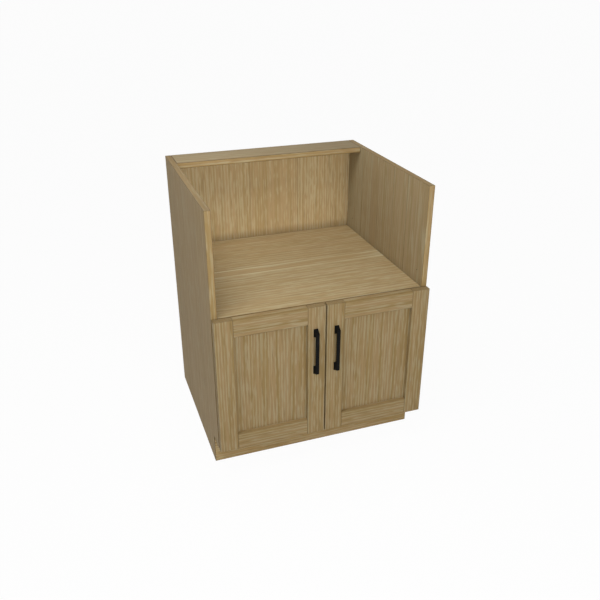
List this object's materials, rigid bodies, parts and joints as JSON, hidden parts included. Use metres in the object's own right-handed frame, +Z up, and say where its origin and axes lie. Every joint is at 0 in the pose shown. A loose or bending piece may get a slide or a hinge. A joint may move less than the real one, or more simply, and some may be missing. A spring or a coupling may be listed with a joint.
{
  "type": "farmhouse sink base cabinet",
  "caption": "Limed oak kitchen base cabinet with an open upper bay and deck for an apron-front sink, over a cupboard with hinged shaker doors, slim black bar pulls and a recessed toe kick.",
  "frame": {"origin": "on the floor, under the middle of the cabinet's overall box, pulls included", "axes": "+Z up; +X to the right of someone facing the doors; +Y from the doors to the back"},
  "size_m": [0.6858, 0.6438, 0.8763],
  "materials": {
    "limed_oak": "limed oak veneer and solid oak, pale filler in the grain, matt clear coat",
    "birch_ply": "unfinished birch plywood",
    "black_metal": "matt black coating",
    "nickel_plate": "nickel-plated steel",
    "soft_plastic": "clear soft plastic"
  },
  "bodies": {
    "carcass": {"left_side_panel": "limed_oak", "right_side_panel": "limed_oak", "bottom_panel": "limed_oak", "sink_deck": "limed_oak", "back_panel": "limed_oak", "rear_stretcher": "limed_oak", "deck_front_rail": "limed_oak", "rear_deck_cleat": "birch_ply", "left_deck_cleat": "birch_ply", "right_deck_cleat": "birch_ply", "toe_kick_face": "limed_oak", "toe_kick_backer": "birch_ply", "left_upper_hinge_arm": "nickel_plate", "left_upper_hinge_plate": "nickel_plate", "left_lower_hinge_arm": "nickel_plate", "left_lower_hinge_plate": "nickel_plate", "right_upper_hinge_arm": "nickel_plate", "right_upper_hinge_plate": "nickel_plate", "right_lower_hinge_arm": "nickel_plate", "right_lower_hinge_plate": "nickel_plate"},
    "left_door": {"left_door_hinge_stile": "limed_oak", "left_door_pull_stile": "limed_oak", "left_door_top_rail": "limed_oak", "left_door_bottom_rail": "limed_oak", "left_door_panel": "limed_oak", "left_door_pull": "black_metal", "left_upper_pull_screw": "nickel_plate", "left_lower_pull_screw": "nickel_plate", "left_upper_bumper": "soft_plastic", "left_lower_bumper": "soft_plastic", "left_upper_hinge_cup": "nickel_plate", "left_upper_hinge_pin": "nickel_plate", "left_lower_hinge_cup": "nickel_plate", "left_lower_hinge_pin": "nickel_plate"},
    "right_door": {"right_door_hinge_stile": "limed_oak", "right_door_pull_stile": "limed_oak", "right_door_top_rail": "limed_oak", "right_door_bottom_rail": "limed_oak", "right_door_panel": "limed_oak", "right_door_pull": "black_metal", "right_upper_pull_screw": "nickel_plate", "right_lower_pull_screw": "nickel_plate", "right_upper_bumper": "soft_plastic", "right_lower_bumper": "soft_plastic", "right_upper_hinge_cup": "nickel_plate", "right_upper_hinge_pin": "nickel_plate", "right_lower_hinge_cup": "nickel_plate", "right_lower_hinge_pin": "nickel_plate"}
  },
  "joints": [
    {"name": "left_door_hinge", "type": "hinge", "parent": "carcass", "child": "left_door", "pos_m": [-0.3329, -0.2903, 0.32805], "axis": [0, 0, -1], "range_deg": [0, 105]},
    {"name": "right_door_hinge", "type": "hinge", "parent": "carcass", "child": "right_door", "pos_m": [0.3329, -0.2903, 0.32805], "axis": [0, 0, 1], "range_deg": [0, 105]}
  ]
}
